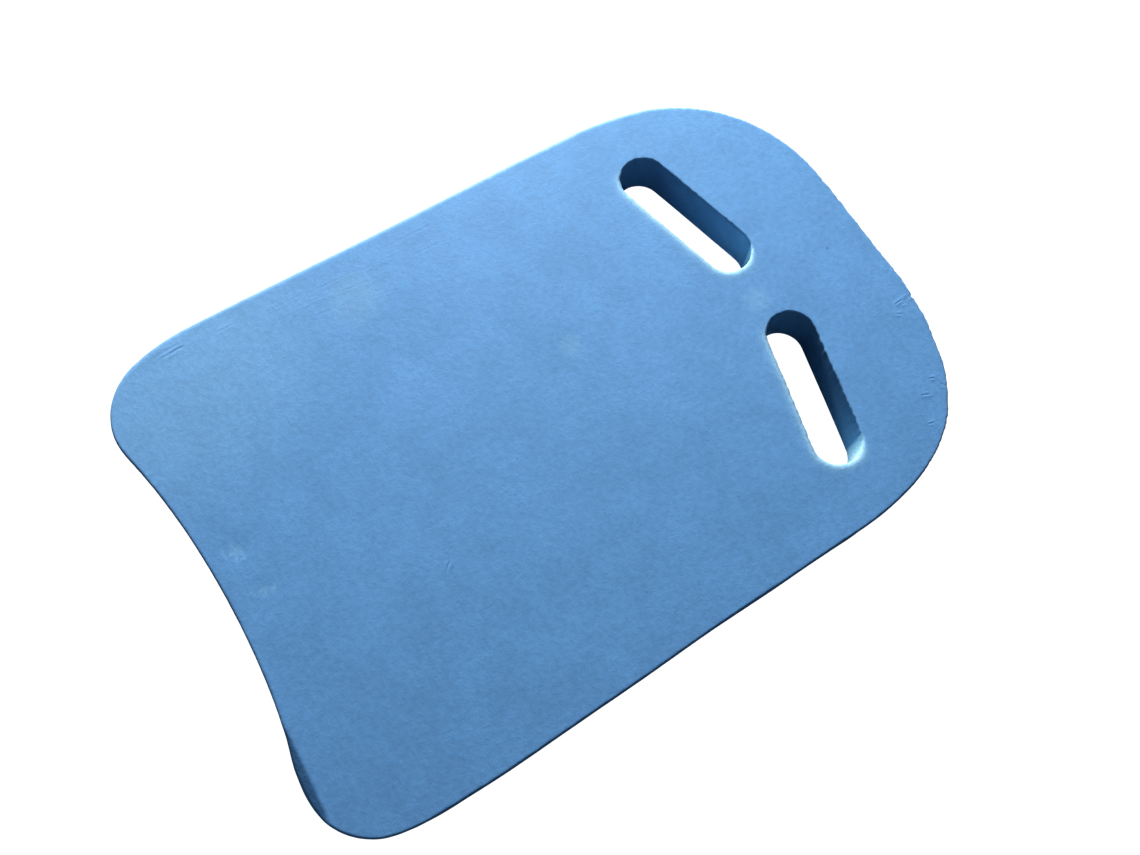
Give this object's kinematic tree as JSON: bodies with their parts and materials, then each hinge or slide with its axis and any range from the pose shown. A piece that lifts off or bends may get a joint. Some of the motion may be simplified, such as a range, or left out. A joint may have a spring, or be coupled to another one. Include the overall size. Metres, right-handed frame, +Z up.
{
  "type": "kickboard float",
  "caption": "Flat foam kickboard for swimmers, with a shallow crowned nose, round shoulders, slanted hand slots cut through it and a shallow hollow in the tail.",
  "frame": {"origin": "on the flat underside, halfway along the board's length and halfway across its width", "axes": "+Y towards the rounded nose, +X across the board to the right hand side, +Z up out of the top face"},
  "size_m": [0.28, 0.4, 0.03],
  "materials": {
    "eva_foam": "matte"
  },
  "bodies": {
    "root": {"foam_board": "eva_foam"}
  },
  "joints": []
}
